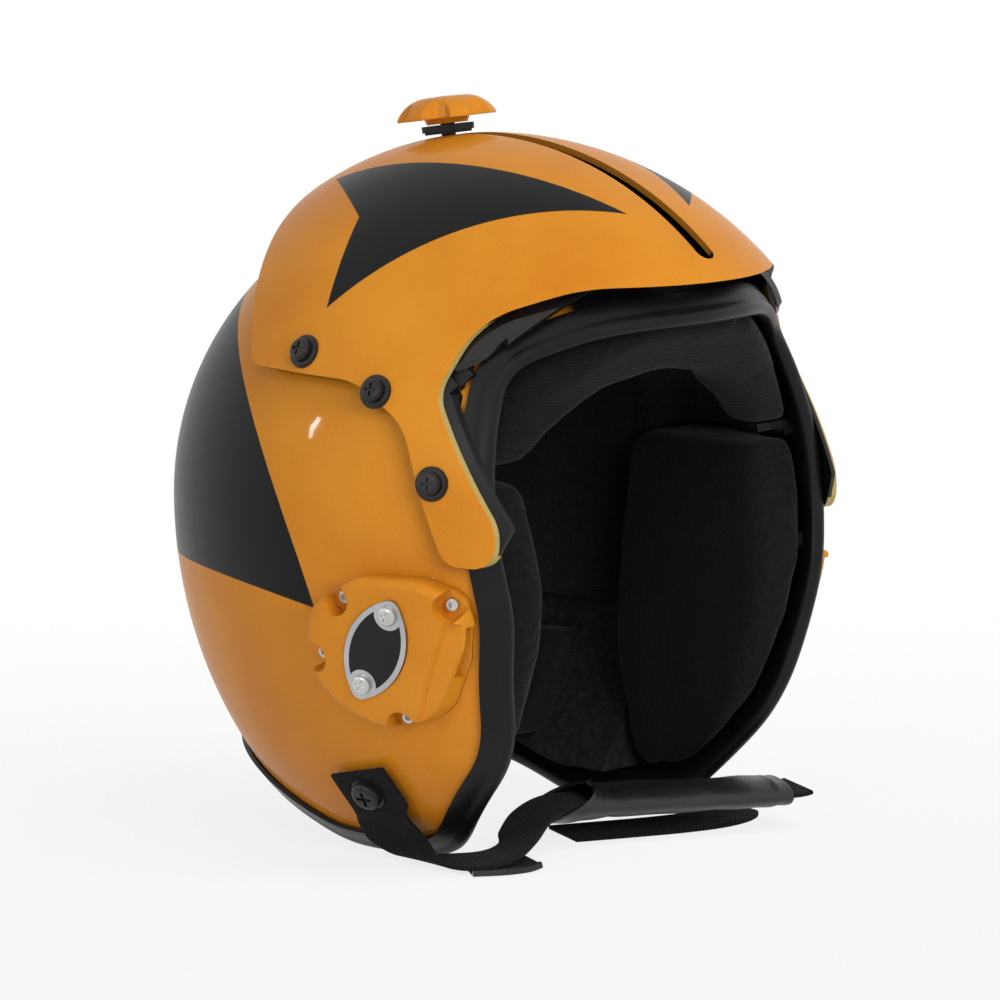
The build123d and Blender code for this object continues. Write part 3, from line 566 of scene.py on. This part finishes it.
def node_copy(node, name):
    """A merged copy of a CAD node's shape, as a new piece."""
    piece = bpy.data.objects.new(name, nodes[node].data.copy())
    bpy.context.collection.objects.link(piece)
    piece.data.materials.clear()
    only(piece)
    bpy.ops.object.mode_set(mode="EDIT")
    bpy.ops.mesh.select_all(action="SELECT")
    bpy.ops.mesh.remove_doubles(threshold=merge_reach)
    bpy.ops.mesh.normals_make_consistent(inside=False)
    bpy.ops.object.mode_set(mode="OBJECT")
    return piece


cloth_frames = 20


def stuffed(node, name, voxel, shrink, cap, pressure=4.0, rounds=6):
    """A soft form grown from a CAD solid: remeshed, softened, shrunk and blown up as sewn cloth."""
    piece = node_copy(node, name)
    piece.data.remesh_voxel_size = voxel
    bpy.ops.object.voxel_remesh()
    apply_modifier(piece, "SMOOTH", factor=0.5, iterations=rounds)
    apply_modifier(piece, "DISPLACE", strength=-shrink, mid_level=0)
    still = [vertex.co.copy() for vertex in piece.data.vertices]
    only(piece)
    cloth = piece.modifiers.new("cloth", "CLOTH")
    cloth.settings.quality = 4
    cloth.settings.use_pressure = True
    cloth.settings.uniform_pressure_force = pressure
    cloth.settings.effector_weights.gravity = 0
    cloth.point_cache.frame_end = cloth_frames
    for step in range(1, cloth_frames + 1):
        bpy.context.scene.frame_set(step)
    bpy.ops.object.modifier_apply(modifier="cloth")
    bpy.context.scene.frame_set(1)
    for vertex, start in zip(piece.data.vertices, still):
        move = vertex.co - start
        if move.length > cap:
            vertex.co = start + move * (cap / move.length)
    apply_modifier(piece, "SUBSURF", levels=1, render_levels=1)
    only(piece)
    bpy.ops.object.shade_smooth()
    return piece


lining_voxel = 0.0042
lining_shrink = 0.0014
lining_cap = 0.0016
lining_knit = rib_knit("lining_knit", "Z")
for node, fullness in (("crown_pad", 0.5), ("rear_pad", 0.5), ("nape_pad", 0.6)):
    pad = stuffed(node, f"{node}_knit", lining_voxel, lining_shrink, lining_cap)
    pad.data.materials.append(lining_knit)
    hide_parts(node)
    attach(pad, "helmet")


# Brow pad. A thick roll of foam in black rib knit that lies behind the brow edge and carries
# the helmet's weight on the forehead.
brow_shrink = 0.0016
brow_cap = 0.0018
brow = stuffed("brow_pad", "brow_pad_knit", lining_voxel, brow_shrink, brow_cap, rounds=10)
brow.data.materials.append(rib_knit("brow_knit", "Z", 0.006))
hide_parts("brow_pad")
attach(brow, "helmet")


# Cheek pads. Two thick foam cushions in the same knit that close round the cheeks and ears.
cheek_voxel = 0.0045
cheek_shrink = 0.0020
cheek_cap = 0.0022
for side in ("right", "left"):
    name = f"cheek_pad_knit_{side}"
    cheek = stuffed(f"cheek_pad_{side}", name, cheek_voxel, cheek_shrink, cheek_cap, rounds=12)
    cheek.data.materials.append(rib_knit(f"cheek_knit_{side}", "Y", 0.0045))
    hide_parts(f"cheek_pad_{side}")
    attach(cheek, "helmet")


# Visor cover. A second, thinner lay-up in the same paint with a three-pointed black field on
# each side, its cut edge bare and yellowish, and a black lining inside.
cover_centre = tuple(shell_centre)
cover_side = 0.1275
cover_front = 0.167
cover_back = 0.146
cover_crown = 0.151
cover_drop = 0.170
field_origin = (-0.0654, -0.0434, 0.2629)
field_across = (0.289, -0.9573, 0.0)
field_along = (0.7618, 0.230, 0.6056)
lower_arc = ((-0.1199, -0.9884), 1.0286)
upper_arc = ((0.2813, -0.4437), 0.5147)
notch_corner = (-0.0426, 0.0009, 0)
notch_upper_side = (0.779, 0.628, 0)
notch_lower_side = (1.0, 0.007, 0)
field_foot = (0.2, 0.201)
laminate_pale = (0.50, 0.40, 0.15)
laminate_dark = (0.36, 0.27, 0.09)
lining_black = (0.012, 0.012, 0.012)


def swept_field(tree, place):
    """Three swept points between two arcs, with a notch behind, the same on both sides."""
    parts = tree.nodes.new("ShaderNodeSeparateXYZ")
    fill(tree, parts.inputs[0], place)
    mirrored = tree.nodes.new("ShaderNodeCombineXYZ")
    sideways = sum_of(tree, "ABSOLUTE", parts.outputs["X"])
    fill(tree, mirrored.inputs[0], sum_of(tree, "MULTIPLY", sideways, -1.0))
    fill(tree, mirrored.inputs[1], parts.outputs["Y"])
    fill(tree, mirrored.inputs[2], parts.outputs["Z"])
    near = arrow(tree, "SUBTRACT", mirrored.outputs[0], field_origin)
    across = arrow(tree, "DOT_PRODUCT", near, field_across)
    along = arrow(tree, "DOT_PRODUCT", near, field_along)
    flat = flat_place(tree, across, along)
    below = within(tree, flat, *lower_arc)
    above = opposite(tree, within(tree, flat, *upper_arc))
    notch = arrow(tree, "SUBTRACT", flat, notch_corner)
    upper = ramp(tree, arrow(tree, "DOT_PRODUCT", notch, notch_upper_side), -arc_softness, arc_softness)
    lower = ramp(tree, arrow(tree, "DOT_PRODUCT", notch, notch_lower_side), -arc_softness, arc_softness)
    ahead = sum_of(tree, "MAXIMUM", upper, lower)
    outside = ramp(tree, parts.outputs["Z"], *field_foot)
    shares = sum_of(tree, "MULTIPLY", below, above)
    return sum_of(tree, "MULTIPLY", sum_of(tree, "MULTIPLY", shares, ahead), outside)


def bare_edge(tree, place, colour):
    """The cut edge in front in bare laminate, and the inner face in matt black."""
    parts = tree.nodes.new("ShaderNodeSeparateXYZ")
    fill(tree, parts.inputs[0], place)
    shares = [sum_of(tree, "DIVIDE", parts.outputs["X"], cover_side)]
    for axis, centre, low, high in (
        ("Y", cover_centre[1], -cover_front, cover_back), ("Z", cover_centre[2], -cover_drop, cover_crown),
    ):
        away = sum_of(tree, "SUBTRACT", parts.outputs[axis], centre)
        low_share = sum_of(tree, "DIVIDE", away, low)
        shares.append(sum_of(tree, "MAXIMUM", low_share, sum_of(tree, "DIVIDE", away, high)))
    scaled = tree.nodes.new("ShaderNodeCombineXYZ")
    for socket, value in zip(scaled.inputs, shares):
        fill(tree, socket, value)
    depth = arrow(tree, "LENGTH", scaled.outputs[0])
    facing = tree.nodes.new("ShaderNodeNewGeometry").outputs["True Normal"]
    split = tree.nodes.new("ShaderNodeSeparateXYZ")
    fill(tree, split.inputs[0], facing)
    frontward = ramp(tree, split.outputs["Y"], -0.02, -0.10)
    sideways = ramp(tree, sum_of(tree, "ABSOLUTE", split.outputs["X"]), 0.5, 0.4)
    cut = ramp(tree, depth, 0.9985, 0.9975)
    cut = sum_of(tree, "MULTIPLY", sum_of(tree, "MULTIPLY", cut, frontward), sideways)
    outward = arrow(tree, "SUBTRACT", place, cover_centre)
    inner = ramp(tree, arrow(tree, "DOT_PRODUCT", facing, outward), 0.0, -0.01)
    laminate = blend_colours(tree, noise(tree, place, 320, 3, 0.6), laminate_pale, laminate_dark)
    colour = blend_colours(tree, cut, colour, laminate)
    colour = blend_colours(tree, inner, colour, lining_black)
    gloss = sum_of(tree, "MULTIPLY", opposite(tree, cut), opposite(tree, inner))
    return colour, gloss


finish_node("visor_cover", gloss_paint("cover_paint", swept_field, bare_edge))


# Visor lens. A bent sheet of smoke-grey polycarbonate with a polished edge, stowed up between
# the shell and the cover.
def smoke_lens():
    """Smoke-grey plastic that is seen through, with a trace of haze."""
    material, tree, shader = new_material("smoke_lens")
    place = object_place(tree)
    haze = noise(tree, place, 60, 4, 0.6)
    smoke = blend_colours(tree, haze, (0.06, 0.05, 0.04), (0.085, 0.072, 0.06))
    fill(tree, shader.inputs["Base Color"], smoke)
    shader.inputs["Transmission Weight"].default_value = 0.9
    shader.inputs["Specular IOR Level"].default_value = 0.25
    shader.inputs["IOR"].default_value = 1.45
    fill(tree, shader.inputs["Roughness"], ramp(tree, haze, 0.3, 0.8, 0.03, 0.10))
    return material


finish_node("visor_lens", smoke_lens())


# Visor tracks. Black moulded strips screwed between the arms and the shell, with the groove
# that the lens edge runs in.
def moulded(name, shade, roughness):
    """Black moulded plastic with a fine spark-eroded grain."""
    material, tree, shader = new_material(name)
    place = object_place(tree)
    grain = noise(tree, place, 1100, 3, 0.6)
    tone = ramp(tree, noise(tree, place, 50, 4), 0.3, 0.7)
    colour = blend_colours(tree, tone, (shade * 0.8,) * 3, (shade * 1.3,) * 3)
    fill(tree, shader.inputs["Base Color"], colour)
    fill(tree, shader.inputs["Roughness"], ramp(tree, grain, 0.2, 0.8, roughness - 0.06, roughness + 0.08))
    shader.inputs["Specular IOR Level"].default_value = 0.25
    fill(tree, shader.inputs["Normal"], bump(tree, grain, 0.10, 0.0003))
    return material


track_plastic = moulded("track_plastic", 0.006, 0.42)
for node in ("visor_track_right", "visor_track_left", "slide_plate"):
    finish_node(node, track_plastic)


# Visor stud, washer and friction pad. The stud goes through the lens, the slot and the plate
# into the knob, and squeezes the pad on the cover.
def plated(name, colour, roughness, metallic=1.0):
    """Turned and plated metal with small scratches."""
    material, tree, shader = new_material(name)
    place = object_place(tree)
    scratches = noise(tree, place, 700, 4, 0.7)
    tone = ramp(tree, noise(tree, place, 90, 3), 0.3, 0.7)
    fill(tree, shader.inputs["Base Color"], blend_colours(tree, tone, [c * 0.8 for c in colour], colour))
    shader.inputs["Metallic"].default_value = metallic
    fill(tree, shader.inputs["Roughness"], ramp(tree, scratches, 0.3, 0.7, roughness - 0.05, roughness + 0.10))
    fill(tree, shader.inputs["Normal"], bump(tree, scratches, 0.06, 0.0002))
    return material


black_oxide = plated("black_oxide", (0.020, 0.020, 0.021), 0.36, 0.6)
finish_node("visor_stud", black_oxide)
finish_node("stud_washer", track_plastic)
finish_node("friction_pad", rubber("friction_rubber", 0.012, 0.6))


# Knob. A domed hand knob in the shell's paint, with six finger cuts round its rim. A threaded
# brass insert holds it on the visor's stud.
finish_node("knob", gloss_paint("knob_paint", soft=0.0009))
finish_node("knob_insert", plated("turned_brass", (0.75, 0.52, 0.22), 0.3))


# Cover screws. Three cross-recess pan heads on cup washers on each side, all black, which go
# through cover, track and shell into plated nuts inside.
finish_node("cover_cup_washers", moulded("cup_plastic", 0.010, 0.36))
finish_node("cover_screws", black_oxide)
zinc = plated("zinc_plate", (0.62, 0.62, 0.60), 0.30)
finish_node("cover_nuts", zinc)


# Ear covers. Domed mouldings in the shell's paint with scooped seats for four small socket
# screws and a slot under a ledge in front for a mask's strap.
ear_paint = gloss_paint("ear_paint", soft=0.0012)
finish_node("ear_cover_right", ear_paint)
finish_node("ear_cover_left", ear_paint)
finish_node("ear_cover_screws", zinc)
finish_node("ear_cover_nuts", zinc)


# Badge plates. Cast almond plates with a satin rim, a black enamel field left bare, and two
# plated screws each.
badge_metal = plated("badge_metal", (0.50, 0.51, 0.52), 0.34)
enamel = moulded("badge_enamel", 0.006, 0.30)
for side in ("right", "left"):
    finish_node(f"badge_plate_{side}", badge_metal)
    finish_node(f"badge_inset_{side}", enamel)
    finish_node(f"badge_screws_{side}", zinc)


# Chin strap. Two lengths of cross-ribbed black webbing, each with its folded tab held outside
# the shell by one large screw and washer; it runs under the edge and lies on the cloth.
web_width = 0.030
web_wall = 0.0018
strap_columns = 6


def between_stations(stations, share):
    """The middle and width direction at a share of a strap's way, smoothly through its stations."""
    spot = min(share * (len(stations) - 1), len(stations) - 1.000001)
    index = int(spot)
    part = spot - index
    around = [stations[min(max(index + step, 0), len(stations) - 1)] for step in (-1, 0, 1, 2)]
    found = []
    for kind in (0, 1):
        a, b, c, d = (Vector(row[kind]) for row in around)
        found.append((
            b * 2 + (c - a) * part + (a * 2 - b * 5 + c * 4 - d) * part**2
            + (b * 3 - a - c * 3 + d) * part**3
        ) / 2)
    return found[0], found[1].normalized()


def woven(name, scale_along, shade=0.008):
    """Woven webbing on the piece's own UV map: ribs across, a twill along, a few raised fibres, painted shade
    in the weave.
    """
    material, tree, shader = new_material(name)
    place = object_place(tree)
    flat = tree.nodes.new("ShaderNodeTexCoord").outputs["UV"]
    parts = tree.nodes.new("ShaderNodeSeparateXYZ")
    fill(tree, parts.inputs[0], flat)
    ribs = sum_of(tree, "SINE", sum_of(tree, "MULTIPLY", parts.outputs["Y"], scale_along * 2 * math.pi))
    twill = sum_of(tree, "MULTIPLY", parts.outputs["X"], 22 * 2 * math.pi)
    twill = sum_of(tree, "SINE", sum_of(tree, "ADD", twill, ribs))
    height = sum_of(tree, "MULTIPLY_ADD", twill, 0.35, ribs)
    fibres = noise(tree, place, 900, 4, 0.7)
    selvedge = sum_of(tree, "ABSOLUTE", sum_of(tree, "SUBTRACT", parts.outputs["X"], 0.5))
    edge = ramp(tree, selvedge, 0.42, 0.46)
    # The raised weave is painted lighter and its hollows darker, as painted shade; fibres vary the tone at
    # random and the selvedges are paler.
    tone = sum_of(tree, "MULTIPLY_ADD", height, 0.2, fibres)
    tone = sum_of(tree, "ADD", tone, sum_of(tree, "MULTIPLY", edge, 0.12))
    colour = blend_colours(tree, ramp(tree, tone, 0.25, 0.85), (shade * 0.5,) * 3, (shade * 1.8,) * 3)
    fill(tree, shader.inputs["Base Color"], colour)
    shader.inputs["Roughness"].default_value = 0.85
    shader.inputs["Specular IOR Level"].default_value = 0.1
    shader.inputs["Sheen Weight"].default_value = 0.03
    under = bump(tree, fibres, 0.35, 0.0003)
    fill(tree, shader.inputs["Normal"], bump(tree, height, 0.5, 0.0004, under))
    return material


def strap_piece(name, stations, width, wall, rows):
    """A band of webbing through its stations, with thickness and softened edges."""
    piece = surface_grid(name, strap_columns, rows)

    def place_of(across, along):
        middle, wide = between_stations(stations, along)
        return middle + wide * (across - 0.5) * width

    carry(piece, place_of)
    apply_modifier(piece, "SOLIDIFY", thickness=wall, offset=0.0, use_even_offset=True)
    sharp = math.radians(50)
    apply_modifier(piece, "BEVEL", width=wall * 0.3, segments=2, limit_method="ANGLE", angle_limit=sharp)
    only(piece)
    bpy.ops.object.shade_smooth_by_angle(angle=math.radians(60))
    return piece


strap_screw_place = (-0.02748, 0.02948)
strap_lift = 0.0042
tab_tilt = math.radians(14.7)
tab_ends = (0.0108, 0.001, -0.0090)
strap_rows = 120
strap_runs = {
    "right": (
        ((-0.0878, -0.0270, 0.0170), (-0.1, -0.97, 0.22)), ((-0.0848, -0.0330, 0.0090), (0, -0.98, 0.18)),
        ((-0.0858, -0.0480, 0.0031), (-0.2, -0.98, 0.02)), ((-0.0760, -0.0675, 0.0036), (-0.6, -0.8, 0)),
        ((-0.0610, -0.0700, 0.0052), (-0.55, -0.83, 0)), ((-0.0465, -0.0630, 0.0085), (-0.3, -0.95, 0.05)),
        ((-0.0305, -0.0565, 0.0136), (-0.3, -0.95, 0.03)), ((-0.0140, -0.0560, 0.0170), (-0.4, -0.917, 0)),
        ((0.0070, -0.0634, 0.0165), (-0.42, -0.908, 0)), ((0.0450, -0.0822, 0.0155), (-0.443, -0.896, 0)),
        ((0.0760, -0.0975, 0.0150), (-0.443, -0.896, 0)), ((0.0848, -0.1017, 0.0160), (-0.443, -0.896, 0)),
    ),
    "left": (
        ((0.0871, -0.0304, 0.0170), (-0.1, -0.97, 0.22)), ((0.0831, -0.0385, 0.0090), (0, -0.98, 0.18)),
        ((0.0850, -0.0515, 0.0022), (0.2, -0.98, 0.02)), ((0.0760, -0.0675, 0.0013), (0.6, -0.8, 0)),
        ((0.0600, -0.0715, 0.0013), (0.1, -0.99, 0)), ((0.0400, -0.0665, 0.0013), (-0.3, -0.95, 0)),
        ((0.0150, -0.0555, 0.0013), (-0.43, -0.9, 0)), ((-0.0020, -0.0475, 0.0013), (-0.43, -0.9, 0)),
    ),
}
web_ribs = woven("strap_webbing", 150)
for name, side in (("right", -1), ("left", 1)):
    y, z = strap_screw_place
    seat = Vector((side * form_x(y, z, strap_lift), y, z))
    out = form_normal(seat, strap_lift)
    forward = Vector((0, 0, 1)).cross(out).normalized() * -side
    rise = out.cross(forward * -side).normalized()
    wide = forward * math.cos(tab_tilt) + rise * math.sin(tab_tilt)
    high = rise * math.cos(tab_tilt) - forward * math.sin(tab_tilt)
    middle = seat - out * web_wall / 2
    tab = [(middle + high * reach, wide) for reach in tab_ends]
    band = strap_piece(f"chin_webbing_{name}", tab + list(strap_runs[name]), web_width, web_wall, strap_rows)
    band.data.materials.append(web_ribs)
    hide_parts(f"chin_strap_{name}")
    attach(band, "helmet")
finish_node("strap_screws", black_oxide)
finish_node("strap_washers", black_oxide)
finish_node("strap_nuts", zinc)


# Strap end tab. A folded end of the webbing that lies on the cloth under the right strap, its
# long edge bound in shiny tape.
tab_rows = (
    ((-0.0800, -0.0655, 0.0012), (-0.6, -0.8, 0)), ((-0.0700, -0.0724, 0.0012), (-0.55, -0.83, 0)),
    ((-0.0600, -0.0755, 0.0013), (-0.5, -0.86, 0)), ((-0.0540, -0.0765, 0.0024), (-0.45, -0.88, 0)),
)
tab_width = 0.026
tab_wall = 0.0016
tape_offset = 0.0132
tape_lift = Vector((0, 0, 0.0004))
tape_width = 0.0026
tape_wall = 0.0024
tab_steps = 30
tape_steps = 40
end_tab = strap_piece("strap_end_bound", tab_rows, tab_width, tab_wall, tab_steps)
end_tab.data.materials.append(woven("tab_webbing", 24))
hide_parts("strap_end_tab")
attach(end_tab, "helmet")
binding_rows = []
for middle, wide in tab_rows:
    binding_rows.append((Vector(middle) + Vector(wide).normalized() * tape_offset + tape_lift, wide))
binding = strap_piece("tab_binding", binding_rows, tape_width, tape_wall, tape_steps)
binding.data.materials.append(rubber("binding_tape", 0.02, 0.12))
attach(binding, "helmet")


# Chin pad. A sleeve of black grained leatherette sewn round the strap, open at both ends, with
# its mouth pulled wide where the strap goes in.
sleeve_rings = (
    ((-0.0140, -0.0560, 0.0170), 0.0184, 0.0078), ((-0.0050, -0.0592, 0.0168), 0.0182, 0.0072),
    ((0.0070, -0.0634, 0.0165), 0.0180, 0.0065), ((0.0450, -0.0822, 0.0155), 0.0179, 0.0061),
    ((0.0690, -0.0941, 0.0151), 0.0176, 0.0058), ((0.0760, -0.0975, 0.0150), 0.0175, 0.0056),
)
sleeve_wide = Vector((-0.443, -0.896, 0)).normalized()
sleeve_wall = 0.0015
mouth_slant = 0.014
mouth_share = 3.2
sleeve_sides = 48
sleeve_steps = 60
sleeve = surface_grid("chin_sleeve", sleeve_sides, sleeve_steps)


def sleeve_place(across, along):
    """A point round the sleeve's ring and along its line, with soft waves and a slanted mouth."""
    spot = min(along * (len(sleeve_rings) - 1), len(sleeve_rings) - 1.000001)
    index = int(spot)
    part = spot - index
    first, last = sleeve_rings[index], sleeve_rings[index + 1]
    middle = Vector(first[0]).lerp(Vector(last[0]), part)
    half_width = first[1] + (last[1] - first[1]) * part
    half_height = first[2] + (last[2] - first[2]) * part
    turn = across * 2 * math.pi
    wave = 1 + 0.04 * math.sin(along * 21 + turn * 2) + 0.03 * math.sin(along * 47 - turn)
    level = math.sin(turn) * half_height * wave
    slant = mouth_slant * math.sin(turn) * max(0.0, 1 - along * mouth_share)
    middle += Vector((slant, slant * -0.4, 0))
    return middle + sleeve_wide * math.cos(turn) * half_width + Vector((0, 0, level))


carry(sleeve, sleeve_place, wrapped=True)
apply_modifier(sleeve, "SOLIDIFY", thickness=sleeve_wall, offset=-1.0)
apply_modifier(sleeve, "SUBSURF", levels=1, render_levels=1)
only(sleeve)
bpy.ops.object.shade_smooth()


def grained_leather(name):
    """Black coated cloth with a pebbled grain, folds with painted shade in their hollows, and a low shine."""
    material, tree, shader = new_material(name)
    place = object_place(tree)
    pebbles = tree.nodes.new("ShaderNodeTexVoronoi")
    pebbles.inputs["Scale"].default_value = 900
    fill(tree, pebbles.inputs["Vector"], place)
    creases = noise(tree, place, 60, 5, 0.7)
    # The crease hollows are painted darker and the raised folds lighter, as painted shade.
    colour = blend_colours(tree, ramp(tree, creases, 0.3, 0.8), (0.006,) * 3, (0.014,) * 3)
    fill(tree, shader.inputs["Base Color"], colour)
    fill(tree, shader.inputs["Roughness"], ramp(tree, creases, 0.3, 0.7, 0.34, 0.5))
    under = bump(tree, creases, 0.35, 0.0015)
    fill(tree, shader.inputs["Normal"], bump(tree, pebbles.outputs["Distance"], 0.25, 0.0003, under))
    return material


sleeve.data.materials.append(grained_leather("sleeve_leather"))
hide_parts("chin_pad")
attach(sleeve, "helmet")


# Finish. Colours are shown as they are, without a film curve.
bpy.context.scene.view_settings.view_transform = "Standard"
